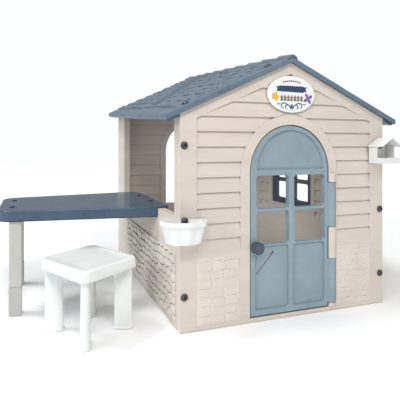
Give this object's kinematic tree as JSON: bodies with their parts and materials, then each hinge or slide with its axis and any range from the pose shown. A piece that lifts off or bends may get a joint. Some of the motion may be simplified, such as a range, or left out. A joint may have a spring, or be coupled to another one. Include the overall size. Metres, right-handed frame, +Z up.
{
  "type": "plastic playhouse",
  "caption": "Gabled plastic playhouse with an arched door that opens, a serving counter with a table, opening shutters, a planter, a bird feeder and a loose stool.",
  "frame": {"origin": "middle of the footprint of the whole set, on the ground", "axes": "+X to the right seen from the front, +Y from the front wall to the back wall, +Z up"},
  "size_m": [1.916, 1.3, 1.3144],
  "materials": {
    "cream": "blow-moulded polyethylene with a fine matt texture",
    "slate": "blow-moulded polyethylene, matt",
    "dark_cap": "moulded screw cap, smooth",
    "mist": "blow-moulded polyethylene, satin",
    "navy": "moulded polypropylene, satin",
    "white": "moulded polypropylene, soft gloss",
    "pearl": "moulded polypropylene, soft gloss",
    "print_navy": "printed film",
    "print_yellow": "printed film",
    "print_purple": "printed film",
    "table_blue": "moulded polypropylene, satin",
    "leg_grey": "extruded tube, satin",
    "foot_grey": "moulded polypropylene, satin"
  },
  "bodies": {
    "house": {"front_wall": "cream", "back_wall": "cream", "left_wall": "cream", "right_wall": "cream", "ridge_beam": "cream", "roof_left": "slate", "roof_right": "slate", "roof_screws": "dark_cap", "wall_screws_front": "dark_cap", "wall_screws_back": "dark_cap", "hanging_screws": "dark_cap", "door_hinge_pin": "dark_cap", "shutter_pins": "dark_cap", "name_plaque": "white", "plaque_ribbon": "print_navy", "plaque_flower": "print_yellow", "plaque_butterfly": "print_purple", "plaque_scroll": "print_navy", "planter": "white", "feeder_body": "pearl", "feeder_roof": "pearl", "table_top": "table_blue", "table_leg_front": "leg_grey", "table_leg_back": "leg_grey", "table_feet": "foot_grey"},
    "door": {"door_leaf": "mist"},
    "knob": {"door_knob_front": "navy", "door_knob_back": "navy"},
    "front_shutter": {"shutter_front": "navy"},
    "back_shutter": {"shutter_back": "navy"},
    "stool": {"stool_seat": "white", "stool_legs": "white", "stool_feet": "white"}
  },
  "joints": [
    {"name": "door_hinge", "type": "hinge", "parent": "house", "child": "door", "pos_m": [0.579, -0.551, 0.45], "axis": [0, 0, 1], "range_deg": [0, 110]},
    {"name": "knob_turn", "type": "hinge", "parent": "door", "child": "knob", "pos_m": [0.158, -0.543, 0.334], "axis": [0, 1, 0], "range_deg": [-45, 45]},
    {"name": "front_shutter_hinge", "type": "hinge", "parent": "house", "child": "front_shutter", "pos_m": [0.878, -0.073, 0.558], "axis": [0, 0, -1], "range_deg": [0, 100]},
    {"name": "back_shutter_hinge", "type": "hinge", "parent": "house", "child": "back_shutter", "pos_m": [0.878, 0.291, 0.558], "axis": [0, 0, 1], "range_deg": [0, 100]},
    {"name": "stool_slide", "type": "slide", "parent": "house", "child": "stool", "axis": [0, -1, 0], "range_m": [0, 0.3]}
  ]
}
